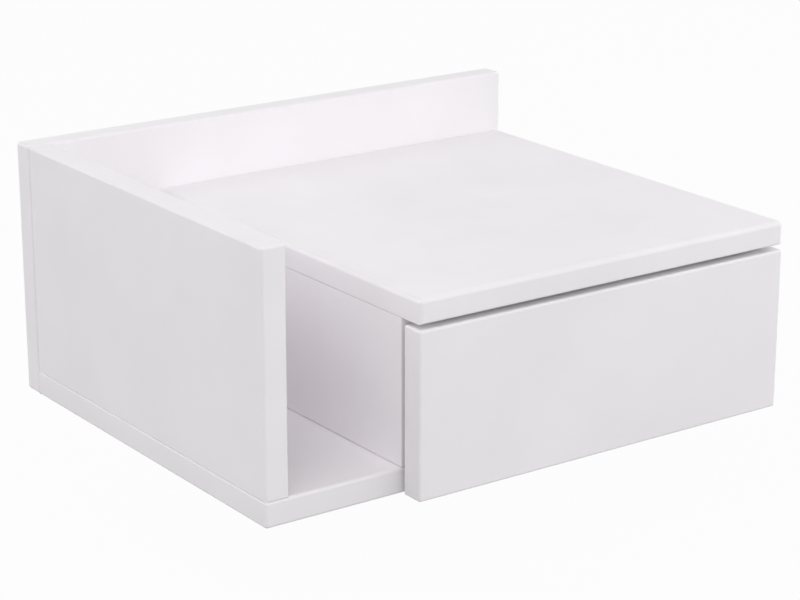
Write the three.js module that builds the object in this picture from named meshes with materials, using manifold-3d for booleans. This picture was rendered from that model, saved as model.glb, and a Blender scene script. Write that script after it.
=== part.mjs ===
// Wall-hung nightstand with an open magazine slot and one drawer on roller runners.
// Millimetres: +X to the right, -Y to the front, +Z up. The wall face lies in the plane y = 0,
// and the origin is the middle of that face.
import * as THREE from "three";
import { RoundedBoxGeometry } from "three/addons/geometries/RoundedBoxGeometry.js";
import { mergeVertices } from "three/addons/utils/BufferGeometryUtils.js";
import Module from "manifold-3d";

// Case of lacquered fibreboard
const caseWidth = 370;
const caseHeight = 164;
const caseDepth = 287;
const boardThickness = 16;
const edgeRadius = 2.5;
const seam = 0.3;
const slotWidth = 76.5;
const shelfThickness = 15;
const shelfDrop = 42;

// Drawer front
const frontThickness = 15;
const frontGap = 3;
const shelfReveal = 3.5;

// Drawer box
const drawerBoard = 12;
const drawerEdgeRadius = 1;
const drawerFloorClearance = 8;
const drawerLiftClearance = 19;
const drawerBackClearance = 24;
const drawerBottomThickness = 3;
const drawerBottomRise = 8;
const grooveDepth = 5;

// Runners of bent steel, and the rollers that they carry
const runnerSpace = 12.5;
const runnerSteel = 1.2;
const runnerSetback = 3;
const runnerBackGap = 18;
const seatGap = 0.3;
const runningClearance = 0.3;
const channelWidth = 10;
const channelRise = 0.5;
const footWidth = 11;
const wingWidth = 7.5;
const wingClearance = 1.3;
const drawerRunnerSetback = 1;
const rollerDiameter = 14;
const rollerWidth = 6;
const rollerChamfer = 0.8;
const rollerEndInset = 8;
const cabinetRollerGap = 0.9;
const drawerRollerGap = 0.6;
const rollerCutMargin = 1;
const lugSetback = 36;
const lugLength = 4;
const lugHeight = 3;
const rivetShank = 4;
const rivetHead = 7;
const rivetHeadHeight = 0.8;

// Screws, dowels, cam fittings and bumpers
const boreSlack = 0.3;
const overrun = 2;
const sink = 0.4;
const caseScrewLength = 45;
const caseScrewShank = 4;
const caseScrewHead = 8;
const backScrewLength = 32;
const backScrewShank = 3.5;
const backScrewHead = 7;
const runnerScrewLength = 13;
const runnerScrewShank = 3.5;
const runnerScrewHead = 6;
const runnerScrewHeadHeight = 1;
const runnerScrewInset = 3.8;
const shelfDowelDiameter = 8;
const shelfDowelLength = 30;
const shelfDowelRise = 10;
const frontDowelDiameter = 6;
const frontDowelLength = 25;
const frontDowelReach = 10;
const dowelChamfer = 0.8;
const camDiameter = 15;
const camDepth = 9;
const camSetback = 24;
const camBoltThread = 10;
const camBoltDiameter = 6;
const camBoltNeck = 4;
const camBoltNeckLength = 4;
const camBoltHeadLength = 3;
const bumperDiameter = 8;
const bumperDrop = 20;

// Bores in the back panel for the two wall screws
const wallBoreDiameter = 5.5;
const wallBoreInset = 30;
const wallBoreDrop = 15;

// Places along a board or a runner: from its rear, its lower edge or its left end
const uprightFixingShares = [0.22, 0.78];
const tallPanelScrewShares = [0.2, 0.8];
const shelfScrewShares = [0.25, 0.75];
const drawerBackScrewShares = [0.3, 0.75];
const runnerScrewShares = [0.2, 0.88];
const camHeightShare = 0.72;
const frontDowelHeightShare = 0.4;

// How finely round forms are divided
const edgeSteps = 2;
const drawerEdgeSteps = 1;
const fixingSides = 12;
const rollerSides = 24;

// Planes that the case boards share
const left = -caseWidth / 2;
const right = caseWidth / 2;
const underside = -caseHeight / 2;
const crown = caseHeight / 2;
const backFace = -boardThickness;
const caseFront = -caseDepth;
const floorTop = underside + boardThickness;
const slotLeft = left + boardThickness;
const dividerLeft = slotLeft + slotWidth;
const bayLeft = dividerLeft + boardThickness;
const bayRight = right - boardThickness;
const shelfTop = crown - shelfDrop;
const shelfUnder = shelfTop - shelfThickness;
const boardsRear = backFace - seam;
const uprightBase = floorTop + seam;
const uprightTop = shelfUnder - seam;
const frontRear = caseFront - frontGap;
const frontFace = frontRear - frontThickness;

// Planes of the drawer box and of the groove for its bottom
const boxLeft = bayLeft + runnerSpace;
const boxRight = bayRight - runnerSpace;
const boxBase = floorTop + drawerFloorClearance;
const boxTop = shelfUnder - drawerLiftClearance;
const boxRear = backFace - drawerBackClearance;
const boxFront = frontRear + seam;
const grooveBase = boxBase + drawerBottomRise;
const drawerBottomBase = grooveBase + seam;
const drawerBottomTop = drawerBottomBase + drawerBottomThickness;
const grooveTop = drawerBottomTop + seam;

// Heights of the runners and rollers
const rollerRadius = rollerDiameter / 2;
const channelBase = boxBase + channelRise;
const trackTop = channelBase + runnerSteel;
const drawerRollerHeight = trackTop + runningClearance + rollerRadius;
const ceilingBase = drawerRollerHeight + rollerRadius + runningClearance;
const channelTop = ceilingBase + runnerSteel;
const wingTop = ceilingBase - wingClearance;
const wingBase = wingTop - runnerSteel;
const cabinetRollerHeight = wingBase - runningClearance - rollerRadius;
const footTop = boxBase - seatGap;
const footBase = footTop - runnerSteel;

// Distances of the runners and rollers from the bay wall
const webOuter = seatGap;
const webInner = webOuter + runnerSteel;
const channelMouth = webOuter + channelWidth;
const legInner = runnerSpace - seatGap;
const legOuter = legInner - runnerSteel;
const wingTip = legOuter - wingWidth;
const footTip = legInner + footWidth;
const cabinetRollerOuter = webInner + cabinetRollerGap;
const cabinetRivetTop = cabinetRollerOuter + rollerWidth + runningClearance + rivetHeadHeight;
const drawerRollerInner = legOuter - drawerRollerGap;
const drawerRivetTop = drawerRollerInner - rollerWidth - runningClearance - rivetHeadHeight;

// Places of the runners and rollers from front to rear
const runnerFront = caseFront + runnerSetback;
const runnerRear = backFace - runnerBackGap;
const drawerRunnerFront = boxFront + drawerRunnerSetback;
const cabinetRollerPlace = runnerFront + rollerEndInset;
const drawerRollerPlace = boxRear - rollerEndInset;

const lacquer = new THREE.MeshStandardMaterial({ color: 0xf4f2f1, roughness: 0.35, metalness: 0 });
const foil = new THREE.MeshStandardMaterial({ color: 0xefedea, roughness: 0.5, metalness: 0 });
const hardboard = new THREE.MeshStandardMaterial({ color: 0xe9e6e1, roughness: 0.6, metalness: 0 });
const enamel = new THREE.MeshStandardMaterial({ color: 0xe6e7e8, roughness: 0.4, metalness: 0.2 });
const nylon = new THREE.MeshStandardMaterial({ color: 0xdcdddd, roughness: 0.45, metalness: 0 });
const zinc = new THREE.MeshStandardMaterial({ color: 0xb4b7bb, roughness: 0.35, metalness: 1 });
const beech = new THREE.MeshStandardMaterial({ color: 0xc9a273, roughness: 0.7, metalness: 0 });
const softPlastic = new THREE.MeshStandardMaterial({ color: 0xd5d6d4, roughness: 0.5, metalness: 0 });

const toLeft = new THREE.Vector3(-1, 0, 0);
const toRight = new THREE.Vector3(1, 0, 0);
const toFront = new THREE.Vector3(0, -1, 0);
const toRear = new THREE.Vector3(0, 1, 0);
const upwards = new THREE.Vector3(0, 0, 1);

const nightstand = new THREE.Group();
const caseGroup = new THREE.Group();
const drawerGroup = new THREE.Group();
const rollerGroup = new THREE.Group();
nightstand.add(caseGroup, drawerGroup, rollerGroup);

const wasm = await Module();
wasm.setup();

function solid(geometry) {
  const bare = geometry.clone();
  bare.deleteAttribute("normal");
  bare.deleteAttribute("uv");
  const merged = mergeVertices(bare);
  const vertProperties = merged.getAttribute("position").array;
  const triVerts = new Uint32Array(merged.getIndex().array);
  return new wasm.Manifold(new wasm.Mesh({ numProp: 3, vertProperties, triVerts }));
}

function geometryOf(body) {
  const mesh = body.getMesh();
  const geometry = new THREE.BufferGeometry();
  geometry.setAttribute("position", new THREE.BufferAttribute(mesh.vertProperties, mesh.numProp));
  geometry.setIndex(new THREE.BufferAttribute(mesh.triVerts, 1));
  geometry.computeVertexNormals();
  return geometry;
}

function carved(body, cutters) {
  return cutters.reduce((kept, cutter) => kept.subtract(solid(cutter)), solid(body));
}

function piece(group, name, geometry, finish) {
  const mesh = new THREE.Mesh(geometry, finish);
  mesh.name = name;
  group.add(mesh);
  return mesh;
}

// Box from its two ends along each axis, given in any order
function span(x, y, z) {
  const low = new THREE.Vector3(Math.min(...x), Math.min(...y), Math.min(...z));
  const high = new THREE.Vector3(Math.max(...x), Math.max(...y), Math.max(...z));
  return new THREE.Box3(low, high);
}

function block(box) {
  const size = box.getSize(new THREE.Vector3());
  const centre = box.getCenter(new THREE.Vector3());
  return new THREE.BoxGeometry(size.x, size.y, size.z).translate(centre.x, centre.y, centre.z);
}

// Round form from a half section: each point is a radius and a distance along the axis
function turned(section, sides) {
  const points = section.map(([radius, along]) => new THREE.Vector2(radius, along));
  return new THREE.LatheGeometry(points, sides);
}

function turnTowards(direction) {
  return new THREE.Quaternion().setFromUnitVectors(toRear, direction);
}

// Copy of a round form that starts at a point and runs in a direction
function aimed(geometry, at, direction) {
  return geometry.clone().applyQuaternion(turnTowards(direction)).translate(at.x, at.y, at.z);
}

function between(start, end, share) {
  return start + (end - start) * share;
}

function pinSection(diameter, start, end) {
  return [
    [0, start],
    [diameter / 2, start],
    [diameter / 2, end],
    [0, end],
  ];
}

function boreSection(diameter, length) {
  return pinSection(diameter + boreSlack + boreSlack, -boreSlack, length + boreSlack);
}

function dowelSection(diameter, length) {
  const radius = diameter / 2;
  return [
    [0, 0],
    [radius - dowelChamfer, 0],
    [radius, dowelChamfer],
    [radius, length - dowelChamfer],
    [radius - dowelChamfer, length],
    [0, length],
  ];
}

// Wood screw with a ninety degree countersunk head and a pointed end
function countersunkSection(head, shank, length) {
  return [
    [0, 0],
    [head / 2, 0],
    [shank / 2, (head - shank) / 2],
    [shank / 2, length - shank],
    [0, length],
  ];
}

function countersunkBoreSection(head, shank, length) {
  const mouth = head / 2 + boreSlack;
  const bore = shank / 2 + boreSlack;
  return [
    [0, -overrun],
    [mouth, -overrun],
    [mouth, 0],
    [bore, (head - shank) / 2],
    [bore, length + boreSlack],
    [0, length + boreSlack],
  ];
}

function headedSection(head, headHeight, shank, length) {
  return [
    [0, 0],
    [head / 2, 0],
    [head / 2, headHeight],
    [shank / 2, headHeight],
    [shank / 2, length],
    [0, length],
  ];
}

// The bolt's thread sits in the drawer front, and the cam lock grips behind its head
const camBoltLength = camBoltThread + seam + camSetback + camBoltHeadLength;

function camBoltSection() {
  const neckEnd = camBoltLength - camBoltHeadLength;
  const neckStart = neckEnd - camBoltNeckLength;
  return [
    [0, 0],
    [camBoltDiameter / 2, 0],
    [camBoltDiameter / 2, neckStart],
    [camBoltNeck / 2, neckStart],
    [camBoltNeck / 2, neckEnd],
    [camBoltDiameter / 2, neckEnd],
    [camBoltDiameter / 2, camBoltLength],
    [0, camBoltLength],
  ];
}

function fixingKind(finish, body, bore) {
  return { finish, body: turned(body, fixingSides), bore: turned(bore, fixingSides) };
}

function rivetKind(length) {
  const body = headedSection(rivetHead, rivetHeadHeight, rivetShank, length);
  return fixingKind(zinc, body, boreSection(rivetShank, length));
}

const kinds = {
  caseScrew: fixingKind(
    zinc,
    countersunkSection(caseScrewHead, caseScrewShank, caseScrewLength),
    countersunkBoreSection(caseScrewHead, caseScrewShank, caseScrewLength),
  ),
  backScrew: fixingKind(
    zinc,
    countersunkSection(backScrewHead, backScrewShank, backScrewLength),
    countersunkBoreSection(backScrewHead, backScrewShank, backScrewLength),
  ),
  runnerScrew: fixingKind(
    zinc,
    headedSection(runnerScrewHead, runnerScrewHeadHeight, runnerScrewShank, runnerScrewLength),
    boreSection(runnerScrewShank, runnerScrewLength),
  ),
  shelfDowel: fixingKind(
    beech,
    dowelSection(shelfDowelDiameter, shelfDowelLength),
    boreSection(shelfDowelDiameter, shelfDowelLength),
  ),
  frontDowel: fixingKind(
    beech,
    dowelSection(frontDowelDiameter, frontDowelLength),
    boreSection(frontDowelDiameter, frontDowelLength),
  ),
  camBolt: fixingKind(zinc, camBoltSection(), boreSection(camBoltDiameter, camBoltLength)),
  cabinetRivet: rivetKind(cabinetRivetTop - webOuter),
  drawerRivet: rivetKind(legInner - drawerRivetTop),
};

// A fixing is set into its group and leaves its bore in each node that it joins
const fixings = [];
function fix(group, name, kind, at, direction, joins) {
  const mesh = piece(group, name, kinds[kind].body, kinds[kind].finish);
  mesh.position.copy(at);
  mesh.quaternion.copy(turnTowards(direction));
  fixings.push({ bore: aimed(kinds[kind].bore, at, direction), joins });
}

function boresIn(node) {
  return fixings.filter((fixing) => fixing.joins.includes(node)).map((fixing) => fixing.bore);
}

const depthWords = ["rear", "front"];
const heightWords = ["lower", "upper"];
const sideWords = ["left", "right"];

const tallUpright = {
  node: "left_side_panel",
  word: "left",
  x: left + boardThickness / 2,
};
const lowUprights = [
  { node: "divider_panel", word: "divider", x: dividerLeft + boardThickness / 2 },
  { node: "right_side_panel", word: "right", x: right - boardThickness / 2 },
];

// Screws up through the bottom panel into the three uprights
for (const { node, word, x } of [tallUpright, ...lowUprights]) {
  uprightFixingShares.forEach((share, index) => {
    const at = new THREE.Vector3(x, between(backFace, caseFront, share), underside + sink);
    const name = `base_screw_${word}_${depthWords[index]}`;
    fix(caseGroup, name, "caseScrew", at, upwards, ["bottom_panel", node]);
  });
}

// Screws through the back panel: two into the tall upright, one into each low one
tallPanelScrewShares.forEach((share, index) => {
  const at = new THREE.Vector3(tallUpright.x, -sink, between(uprightBase, crown, share));
  const name = `back_screw_left_${heightWords[index]}`;
  fix(caseGroup, name, "caseScrew", at, toFront, ["back_panel", tallUpright.node]);
});
for (const { node, word, x } of lowUprights) {
  const at = new THREE.Vector3(x, -sink, (uprightBase + uprightTop) / 2);
  fix(caseGroup, `back_screw_${word}`, "caseScrew", at, toFront, ["back_panel", node]);
}

// Screws through the back panel into the shelf and the bottom panel
shelfScrewShares.forEach((share, index) => {
  const at = new THREE.Vector3(between(dividerLeft, right, share), -sink, (shelfTop + shelfUnder) / 2);
  const name = `back_screw_shelf_${sideWords[index]}`;
  fix(caseGroup, name, "caseScrew", at, toFront, ["back_panel", "top_shelf"]);
});
const bottomScrewAt = new THREE.Vector3(0, -sink, (underside + floorTop) / 2);
fix(caseGroup, "back_screw_bottom", "caseScrew", bottomScrewAt, toFront, ["back_panel", "bottom_panel"]);

// Dowels that stand in the two low uprights and hold the shelf in place
for (const { node, word, x } of lowUprights) {
  uprightFixingShares.forEach((share, index) => {
    const foot = shelfUnder + shelfDowelRise - shelfDowelLength;
    const at = new THREE.Vector3(x, between(backFace, caseFront, share), foot);
    const name = `shelf_dowel_${word}_${depthWords[index]}`;
    fix(caseGroup, name, "shelfDowel", at, upwards, [node, "top_shelf"]);
  });
}

// The two sides of the drawer: a place is a distance from the bay wall towards the drawer
const drawerSides = [
  { word: "left", wallNode: "divider_panel", outward: toLeft, inward: toRight, inset: (far) => bayLeft + far },
  { word: "right", wallNode: "right_side_panel", outward: toRight, inward: toLeft, inset: (far) => bayRight - far },
];
const boxHeight = boxTop - boxBase;
const camHeight = between(boxBase, boxTop, camHeightShare);
const camPlace = boxFront + camSetback;

for (const { word, wallNode, outward, inward, inset } of drawerSides) {
  const sideNode = `drawer_${word}_side`;
  const sideMiddle = inset(runnerSpace + drawerBoard / 2);

  // Cam bolt and dowel between the drawer front and the side
  const boltAt = new THREE.Vector3(sideMiddle, frontRear - camBoltThread, camHeight);
  const boltJoins = ["drawer_front", sideNode, `cam_lock_${word}`];
  fix(drawerGroup, `cam_bolt_${word}`, "camBolt", boltAt, toRear, boltJoins);
  const dowelHeight = between(boxBase, boxTop, frontDowelHeightShare);
  const dowelAt = new THREE.Vector3(sideMiddle, frontRear - frontDowelReach, dowelHeight);
  fix(drawerGroup, `front_dowel_${word}`, "frontDowel", dowelAt, toRear, ["drawer_front", sideNode]);

  // Screws through the side into the end of the drawer back
  drawerBackScrewShares.forEach((share, index) => {
    const height = between(grooveTop, boxTop, share);
    const at = new THREE.Vector3(inset(runnerSpace + sink), boxRear - drawerBoard / 2, height);
    const name = `drawer_back_screw_${word}_${heightWords[index]}`;
    fix(drawerGroup, name, "backScrew", at, inward, [sideNode, "drawer_back"]);
  });

  // Screws of the runners: sideways into the bay wall, and up into the drawer side
  runnerScrewShares.forEach((share, index) => {
    const wallAt = new THREE.Vector3(
      inset(webInner + seatGap + runnerScrewHeadHeight),
      between(runnerRear, runnerFront, share),
      (channelBase + channelTop) / 2,
    );
    const wallName = `cabinet_runner_screw_${word}_${depthWords[index]}`;
    const wallJoins = [wallNode, `cabinet_runner_${word}`];
    fix(caseGroup, wallName, "runnerScrew", wallAt, outward, wallJoins);
    const footAt = new THREE.Vector3(
      inset(runnerSpace + runnerScrewInset),
      between(boxRear, drawerRunnerFront, share),
      footBase - seatGap - runnerScrewHeadHeight,
    );
    const footName = `drawer_runner_screw_${word}_${depthWords[index]}`;
    const footJoins = [sideNode, `drawer_runner_${word}`];
    fix(drawerGroup, footName, "runnerScrew", footAt, upwards, footJoins);
  });

  // Rivets that the rollers turn on
  const cabinetRivetAt = new THREE.Vector3(inset(cabinetRivetTop), cabinetRollerPlace, cabinetRollerHeight);
  const cabinetRivetName = `cabinet_roller_rivet_${word}`;
  fix(caseGroup, cabinetRivetName, "cabinetRivet", cabinetRivetAt, outward, [`cabinet_runner_${word}`]);
  const drawerRivetAt = new THREE.Vector3(inset(drawerRivetTop), drawerRollerPlace, drawerRollerHeight);
  const drawerRivetName = `drawer_roller_rivet_${word}`;
  fix(drawerGroup, drawerRivetName, "drawerRivet", drawerRivetAt, inward, [`drawer_runner_${word}`]);
}

// Board centred on its own mesh, cut by its grooves and by every fixing that passes through it
function board(group, name, box, finish, radius, steps, cutters = []) {
  const size = box.getSize(new THREE.Vector3());
  const centre = box.getCenter(new THREE.Vector3());
  const blank = new RoundedBoxGeometry(size.x, size.y, size.z, steps, radius);
  const cuts = [...cutters, ...boresIn(name)].map((cutter) =>
    cutter.clone().translate(-centre.x, -centre.y, -centre.z),
  );
  const mesh = piece(group, name, geometryOf(carved(blank, cuts)), finish);
  mesh.position.copy(centre);
}

// Case boards, with the two bores for the wall screws behind the drawer
const wallBore = turned(pinSection(wallBoreDiameter, -overrun, boardThickness + overrun), fixingSides);
const wallBores = [bayLeft + wallBoreInset, bayRight - wallBoreInset].map((x) =>
  aimed(wallBore, new THREE.Vector3(x, 0, shelfUnder - wallBoreDrop), toFront),
);
const caseRun = [boardsRear, caseFront];
const lowUprightRise = [uprightBase, uprightTop];
const caseBoards = [
  ["back_panel", span([left, right], [0, backFace], [underside, crown]), wallBores],
  ["bottom_panel", span([left, right], caseRun, [underside, floorTop])],
  ["left_side_panel", span([left, slotLeft], caseRun, [uprightBase, crown])],
  ["divider_panel", span([dividerLeft, bayLeft], caseRun, lowUprightRise)],
  ["right_side_panel", span([bayRight, right], caseRun, lowUprightRise)],
  ["top_shelf", span([dividerLeft, right], [boardsRear, frontFace], [shelfUnder, shelfTop])],
];
for (const [name, box, cutters] of caseBoards) {
  board(caseGroup, name, box, lacquer, edgeRadius, edgeSteps, cutters);
}

// Bumpers on the front edges of the two low uprights
const bumper = turned(pinSection(bumperDiameter, 0, frontGap - seam - seam), fixingSides);
for (const { word, x } of lowUprights) {
  const mesh = piece(caseGroup, `front_bumper_${word}`, bumper, softPlastic);
  mesh.position.set(x, caseFront - seam, shelfUnder - bumperDrop);
  mesh.quaternion.copy(turnTowards(toFront));
}

// Drawer front, with the groove that the drawer bottom slides into
const grooveRun = [boxLeft + drawerBoard - grooveDepth, boxRight - drawerBoard + grooveDepth];
const groove = block(span(grooveRun, [frontRear - grooveDepth, boxRear + overrun], [grooveBase, grooveTop]));
const frontSpan = span([dividerLeft, right], [frontRear, frontFace], [underside, shelfUnder - shelfReveal]);
board(drawerGroup, "drawer_front", frontSpan, lacquer, edgeRadius, edgeSteps, [groove]);

// Drawer sides, each with a pocket for its cam lock
const camPocket = turned(boreSection(camDiameter, camDepth), rollerSides);
const camBlank = turned(pinSection(camDiameter, 0, camDepth), rollerSides);
for (const { word, outward, inset } of drawerSides) {
  const faces = [inset(runnerSpace), inset(runnerSpace + drawerBoard)];
  const camAt = new THREE.Vector3(faces[1], camPlace, camHeight);
  const cutters = [groove, aimed(camPocket, camAt, outward)];
  const box = span(faces, [boxFront, boxRear], [boxBase, boxTop]);
  board(drawerGroup, `drawer_${word}_side`, box, foil, drawerEdgeRadius, drawerEdgeSteps, cutters);
  const camNode = `cam_lock_${word}`;
  piece(drawerGroup, camNode, geometryOf(carved(aimed(camBlank, camAt, outward), boresIn(camNode))), zinc);
}

// Drawer back, which stands on the rear edge of the drawer bottom
const backRun = [boxLeft + drawerBoard + seam, boxRight - drawerBoard - seam];
const backSpan = span(backRun, [boxRear, boxRear - drawerBoard], [grooveTop, boxTop]);
board(drawerGroup, "drawer_back", backSpan, foil, drawerEdgeRadius, drawerEdgeSteps);

// Drawer bottom of thin hardboard, in the groove on three sides
const bottomSize = span(
  [grooveRun[0] + seam, grooveRun[1] - seam],
  [frontRear - grooveDepth + seam, boxRear],
  [drawerBottomBase, drawerBottomTop],
);
piece(drawerGroup, "drawer_bottom", block(bottomSize), hardboard);

// Bent steel section, given as distances from the bay wall and heights, pressed out along a run
function bentSteel(section, inset, front, rear) {
  const outline = new THREE.Shape(section.map(([far, height]) => new THREE.Vector2(inset(far), height)));
  const bar = new THREE.ExtrudeGeometry(outline, { depth: rear - front, bevelEnabled: false });
  return bar.rotateX(Math.PI / 2).translate(0, rear, 0);
}

// Channel on the bay wall: open towards the drawer, its lower flange cut away for the front roller
const channelSection = [
  [webOuter, channelBase],
  [channelMouth, channelBase],
  [channelMouth, trackTop],
  [webInner, trackTop],
  [webInner, ceilingBase],
  [channelMouth, ceilingBase],
  [channelMouth, channelTop],
  [webOuter, channelTop],
];

// Section under the drawer side: a foot below it, a leg beside it and a wing that rides on the front roller
const drawerRunnerSection = [
  [footTip, footBase],
  [legOuter, footBase],
  [legOuter, wingBase],
  [wingTip, wingBase],
  [wingTip, wingTop],
  [legInner, wingTop],
  [legInner, footTop],
  [footTip, footTop],
];

const rollerSection = [
  [rivetShank / 2 + runningClearance, 0],
  [rollerRadius - rollerChamfer, 0],
  [rollerRadius, rollerChamfer],
  [rollerRadius, rollerWidth - rollerChamfer],
  [rollerRadius - rollerChamfer, rollerWidth],
  [rivetShank / 2 + runningClearance, rollerWidth],
  [rivetShank / 2 + runningClearance, 0],
];
const roller = turned(rollerSection, rollerSides);
const rollerRoom = rollerRadius + rollerCutMargin;

for (const { word, outward, inward, inset } of drawerSides) {
  const cabinetNode = `cabinet_runner_${word}`;
  const flangeCut = block(
    span(
      [inset(webInner), inset(channelMouth + overrun)],
      [runnerFront - overrun, cabinetRollerPlace + rollerRoom],
      [channelBase - overrun, trackTop + overrun],
    ),
  );
  const lugFront = runnerFront + lugSetback;
  const lug = block(
    span([inset(webInner), inset(channelMouth)], [lugFront, lugFront + lugLength], [trackTop, trackTop + lugHeight]),
  );
  const channel = bentSteel(channelSection, inset, runnerFront, runnerRear);
  const cabinetRunner = carved(channel, [flangeCut, ...boresIn(cabinetNode)]).add(solid(lug));
  piece(caseGroup, cabinetNode, geometryOf(cabinetRunner), enamel);

  const drawerNode = `drawer_runner_${word}`;
  const wingCut = block(
    span(
      [inset(legOuter), inset(wingTip - overrun)],
      [drawerRollerPlace - rollerRoom, boxRear + overrun],
      [wingBase - overrun, wingTop + overrun],
    ),
  );
  const bent = bentSteel(drawerRunnerSection, inset, drawerRunnerFront, boxRear);
  piece(drawerGroup, drawerNode, geometryOf(carved(bent, [wingCut, ...boresIn(drawerNode)])), enamel);

  const cabinetRoller = piece(rollerGroup, `cabinet_roller_${word}`, roller, nylon);
  cabinetRoller.position.set(inset(cabinetRollerOuter), cabinetRollerPlace, cabinetRollerHeight);
  cabinetRoller.quaternion.copy(turnTowards(inward));
  const drawerRoller = piece(rollerGroup, `drawer_roller_${word}`, roller, nylon);
  drawerRoller.position.set(inset(drawerRollerInner), drawerRollerPlace, drawerRollerHeight);
  drawerRoller.quaternion.copy(turnTowards(outward));
}

export default nightstand;
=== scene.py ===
# Wall-hung nightstand: white lacquered boards, an open slot and one drawer on roller runners.
# Metres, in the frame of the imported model: +X to the right, -Y to the front, +Z up.
import math

import bmesh
import bpy
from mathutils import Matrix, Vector


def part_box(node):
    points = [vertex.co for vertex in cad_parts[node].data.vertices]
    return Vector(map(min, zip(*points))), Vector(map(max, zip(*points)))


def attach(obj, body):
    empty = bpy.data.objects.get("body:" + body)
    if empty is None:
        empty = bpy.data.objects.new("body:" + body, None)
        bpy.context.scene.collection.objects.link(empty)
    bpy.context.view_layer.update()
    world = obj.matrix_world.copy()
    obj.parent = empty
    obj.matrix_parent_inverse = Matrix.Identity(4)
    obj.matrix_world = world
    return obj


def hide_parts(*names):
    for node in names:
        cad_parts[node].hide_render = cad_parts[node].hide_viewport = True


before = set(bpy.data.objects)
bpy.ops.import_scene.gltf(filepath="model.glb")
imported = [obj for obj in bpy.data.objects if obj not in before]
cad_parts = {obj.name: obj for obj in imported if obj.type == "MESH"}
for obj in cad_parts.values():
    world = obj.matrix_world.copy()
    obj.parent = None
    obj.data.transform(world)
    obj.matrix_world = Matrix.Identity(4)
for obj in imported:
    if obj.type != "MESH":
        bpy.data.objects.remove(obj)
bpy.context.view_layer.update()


# Back panel: 16 mm fibreboard, sawn to size, rounded over on a router table, then sprayed all over
# with satin white lacquer. It stands above the shelf, and it carries the whole case: seven screws
# go through it into the other boards, and two bores behind the drawer take the wall screws.
MM = 0.001
TO_LEFT, TO_RIGHT = Vector((-1, 0, 0)), Vector((1, 0, 0))
TO_FRONT, TO_REAR = Vector((0, -1, 0)), Vector((0, 1, 0))
UP = Vector((0, 0, 1))
CASE_EDGE = 2 * MM
CASE_EDGE_STEPS = 5
FLUSH_EDGE = 1.5 * MM
BORE_SIDES = 24
SLACK = 0.3 * MM
OVERRUN = 2 * MM
CASE_SCREW_HEAD = 8 * MM
CASE_SCREW_SHANK = 4 * MM
CASE_SCREW_LENGTH = 45 * MM
WALL_BORE = 5.5 * MM
WALL_BORE_PLACES = ((-46.5 * MM, 10 * MM), (139 * MM, 10 * MM))
WALL_BORE_RIM = 0.4 * MM


def linear(code):
    """An sRGB hex colour as linear red, green and blue, and one for alpha."""
    parts = [int(code[i:i + 2], 16) / 255 for i in (0, 2, 4)]
    return [p / 12.92 if p <= 0.04045 else ((p + 0.055) / 1.055) ** 2.4 for p in parts] + [1.0]


def add(tree, kind, settings=None, links=None):
    """Adds a node, sets what is fixed on it and links what varies."""
    node = tree.nodes.new(kind)
    for key, value in (settings or {}).items():
        if isinstance(key, str) and hasattr(node, key):
            setattr(node, key, value)
        else:
            node.inputs[key].default_value = value
    for key, source in (links or {}).items():
        tree.links.new(source, node.inputs[key])
    return node


def new_material(name):
    made = bpy.data.materials.new(name)
    made.use_nodes = True
    made.node_tree.nodes.clear()
    return made


def activate(piece):
    bpy.ops.object.select_all(action="DESELECT")
    piece.select_set(True)
    bpy.context.view_layer.objects.active = piece


def settle(piece):
    """Moves the place, turn and scale of a piece into its mesh."""
    activate(piece)
    bpy.ops.object.transform_apply(location=True, rotation=True, scale=True)


def edit(piece):
    """Opens a piece for modelling with nothing selected."""
    activate(piece)
    bpy.ops.object.mode_set(mode="EDIT")
    bpy.ops.mesh.select_mode(type="VERT")
    bpy.ops.mesh.select_all(action="DESELECT")


def done():
    bpy.ops.object.mode_set(mode="OBJECT")


def pick(piece, part, wanted):
    """Selects the vertices, edges or faces that are wanted by their place."""
    mesh = bmesh.from_edit_mesh(piece.data)
    for item in getattr(mesh, part):
        corners = [item.co] if part == "verts" else [v.co for v in item.verts]
        if all(wanted(corner) for corner in corners):
            item.select_set(True)
    mesh.select_flush(True)
    bmesh.update_edit_mesh(piece.data)


def box_between(low, high, name="cutter"):
    bpy.ops.object.select_all(action="DESELECT")
    low, high = Vector(low), Vector(high)
    bpy.ops.mesh.primitive_cube_add(size=1, location=(low + high) / 2, scale=high - low)
    made = bpy.context.object
    made.name = name
    settle(made)
    return made


def rounded_board(name, node, edge, steps, closer=()):
    """A board of the node's own size, rounded over, but less on the sides and edges given with a width."""
    low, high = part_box(node)
    made = box_between(low, high, name)
    edit(made)
    bpy.ops.mesh.select_mode(type="EDGE")
    bpy.ops.mesh.select_all(action="SELECT")
    bpy.ops.transform.edge_bevelweight(value=1)
    for way, width in closer:
        reach = sum(max(low[i] * way[i], high[i] * way[i]) for i in range(3)) - SLACK
        bpy.ops.mesh.select_all(action="DESELECT")
        pick(made, "edges", lambda corner: corner.dot(way) > reach)
        bpy.ops.transform.edge_bevelweight(value=width / edge - 1)
    done()
    route = made.modifiers.new("route", "BEVEL")
    route.width, route.segments, route.limit_method = edge, steps, "WEIGHT"
    bpy.ops.object.modifier_apply(modifier=route.name)
    return made


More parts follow.
